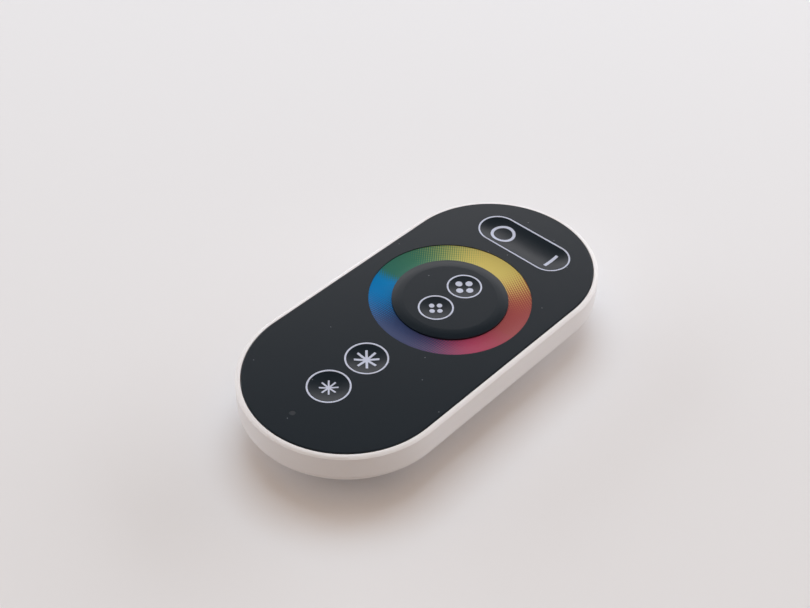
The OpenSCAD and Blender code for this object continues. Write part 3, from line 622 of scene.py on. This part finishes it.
print_marks("pad_outlines", [outline(y, half_span, mouth_r, LINE_W) for y, half_span, mouth_r, _ in DISHES])
print_marks("star_marks", star(SMALL_STAR_Y, *SMALL_STAR_ARM) + star(LARGE_STAR_Y, *LARGE_STAR_ARM))
print_marks("dot_marks", four_dots(SMALL_DOTS_Y, *SMALL_DOTS) + four_dots(LARGE_DOTS_Y, *LARGE_DOTS))
print_marks("power_marks", [hoop(*POWER_O), bar(*POWER_I)])


# Table, light and camera, in metres

TABLE_HALF = 3.0
PALE_WALL = linear("#e4e1e1")

# Between these distances from the object's middle, out of the main view, the table is seen to fade into
# the wall
FADE_START = 0.3
FADE_END = 0.62


def seen_rays(tree):
    """1 for what the camera sees, straight or in gloss and glass, and 0 for light on its way to a surface."""
    path = add(tree, "ShaderNodeLightPath")
    seen = path.outputs["Is Camera Ray"]
    for ray in ("Is Glossy Ray", "Is Transmission Ray"):
        seen = add(tree, "ShaderNodeMath", {0: seen, 1: path.outputs[ray]}, operation="MAXIMUM").outputs[0]
    return seen


def table_finish():
    """Matt paper: a pale even ground that takes the soft shadow and keeps no gloss."""
    material, tree, shader = finish_named(
        "matt_paper", Base_Color=linear("#e7e5e5"), Roughness=0.9, IOR=1.4, Specular_IOR_Level=0.1)
    place = add(tree, "ShaderNodeTexCoord").outputs["Object"]
    away = add(tree, "ShaderNodeVectorMath", {0: place}, operation="LENGTH").outputs["Value"]
    away = add(tree, "ShaderNodeMapRange", {"Value": away, "From Min": FADE_START, "From Max": FADE_END},
               interpolation_type="SMOOTHSTEP").outputs[0]
    away = add(tree, "ShaderNodeMath", {0: away, 1: seen_rays(tree)}, operation="MULTIPLY").outputs[0]
    plain = add(tree, "ShaderNodeEmission", {"Color": PALE_WALL}).outputs[0]
    surface = add(tree, "ShaderNodeMixShader", {0: away, 1: shader.outputs[0], 2: plain}).outputs[0]
    tree.links.new(surface, tree.nodes["Material Output"].inputs["Surface"])
    return material


corners = [(x * TABLE_HALF, y * TABLE_HALF, 0) for x, y in ((-1, -1), (1, -1), (1, 1), (-1, 1))]
floor_data = bpy.data.meshes.new("table_top")
floor_data.from_pydata(corners, [], [(0, 1, 2, 3)])
floor_data.materials.append(table_finish())
floor = bpy.data.objects.new("table_top", floor_data)
bpy.context.collection.objects.link(floor)

# Heights in the room go from 0 at the table's level to 1 overhead. Its light is the height to this power,
# times the ceiling's own
GLOW_GROWTH = 2.0
CEILING_GLOW = 0.9

# The seen wall turns from its full light to the dark ceiling between these heights
WALL_TOP = 0.2
CEILING_START = 0.35
DARK_CEILING = 0.05


def soft_room():
    """A warm room that is lighter towards its ceiling. The camera, gloss and glass see its pale low wall."""
    world = bpy.data.worlds.new("soft_room")
    world.use_nodes = True
    tree = world.node_tree
    heading = add(tree, "ShaderNodeTexCoord").outputs["Generated"]
    height = add(tree, "ShaderNodeSeparateXYZ", {0: heading}).outputs[2]
    height = add(tree, "ShaderNodeMath", {0: height, 1: 0.0}, operation="MAXIMUM").outputs[0]
    glow = add(tree, "ShaderNodeMath", {0: height, 1: GLOW_GROWTH}, operation="POWER").outputs[0]
    glow = add(tree, "ShaderNodeMath", {0: glow, 1: CEILING_GLOW}, operation="MULTIPLY").outputs[0]
    ceiling = tree.nodes["Background"]
    ceiling.inputs["Color"].default_value = linear("#ffdbb8")
    tree.links.new(glow, ceiling.inputs["Strength"])
    wall_light = add(tree, "ShaderNodeMapRange", {
        "Value": height,
        "From Min": WALL_TOP, "From Max": CEILING_START,
        "To Min": 1.0, "To Max": DARK_CEILING,
    }).outputs[0]
    wall = add(tree, "ShaderNodeBackground", {"Color": PALE_WALL, "Strength": wall_light}).outputs[0]
    both = add(tree, "ShaderNodeMixShader", {0: seen_rays(tree), 1: ceiling.outputs[0], 2: wall}).outputs[0]
    tree.links.new(both, tree.nodes["World Output"].inputs["Surface"])
    return world


bpy.context.scene.world = soft_room()


def soft_box(name, place, aim, width, height, watts, colour, in_gloss=False):
    """A rectangular area lamp that faces aim. It lights surfaces, or else it shows in their gloss alone."""
    lamp = bpy.data.lights.new(name, "AREA")
    lamp.shape = "RECTANGLE"
    lamp.size = width
    lamp.size_y = height
    lamp.energy = watts
    lamp.color = linear(colour)[:3]
    holder = bpy.data.objects.new(name, lamp)
    bpy.context.collection.objects.link(holder)
    holder.location = place
    holder.rotation_mode = "QUATERNION"
    holder.rotation_quaternion = (Vector(aim) - Vector(place)).to_track_quat("-Z", "Y")
    holder.visible_diffuse = not in_gloss
    holder.visible_glossy = in_gloss


# One soft box stands off the case's left side, one beyond its far tip, and a third hangs above and
# behind it. They are kept out of gloss, so they leave no sheen. A white card hangs opposite the camera
# and lays a sheen on the panel, and adds no other light. Nothing stands on the camera's side
soft_box("left_box", place=(-1.047, -0.335, 0.35), aim=(0, 0, 0.35),
         width=1.5, height=0.7, watts=7.0, colour="#ecf5ff")
soft_box("right_box", place=(0.284, 1.063, 0.35), aim=(0, 0, 0.35),
         width=1.5, height=0.7, watts=11.0, colour="#eff6ff")
soft_box("top_box", place=(-0.25, 0.27, 1.1), aim=(-0.25, 0.27, 0),
         width=0.8, height=0.8, watts=7.4, colour="#cce9ff")
soft_box("far_card", place=(-0.887, 0.951, 0.75), aim=(0, 0, 0.75),
         width=2.1, height=0.5, watts=6.5, colour="#fffbfd", in_gloss=True)

# The camera stands where the photograph was taken from: its place and its lens in millimetres, the
# direction in which it looks, and its roll in degrees
CAMERA_PLACE = (159.02, -186.55, 247.94)
CAMERA_LENS = 57.24
CAMERA_LOOKS = (-0.49087, 0.55083, -0.67501)
CAMERA_ROLL = 1.47

camera_data = bpy.data.cameras.new("camera")
camera_data.sensor_width = 36
camera_data.lens = CAMERA_LENS
camera = bpy.data.objects.new("camera", camera_data)
bpy.context.collection.objects.link(camera)
camera.location = Vector(CAMERA_PLACE) * MM
camera.rotation_mode = "QUATERNION"
looking = Vector(CAMERA_LOOKS).to_track_quat("-Z", "Y")
camera.rotation_quaternion = looking @ Quaternion((0, 0, 1), math.radians(CAMERA_ROLL))
bpy.context.scene.camera = camera
bpy.context.scene.view_settings.view_transform = "Standard"
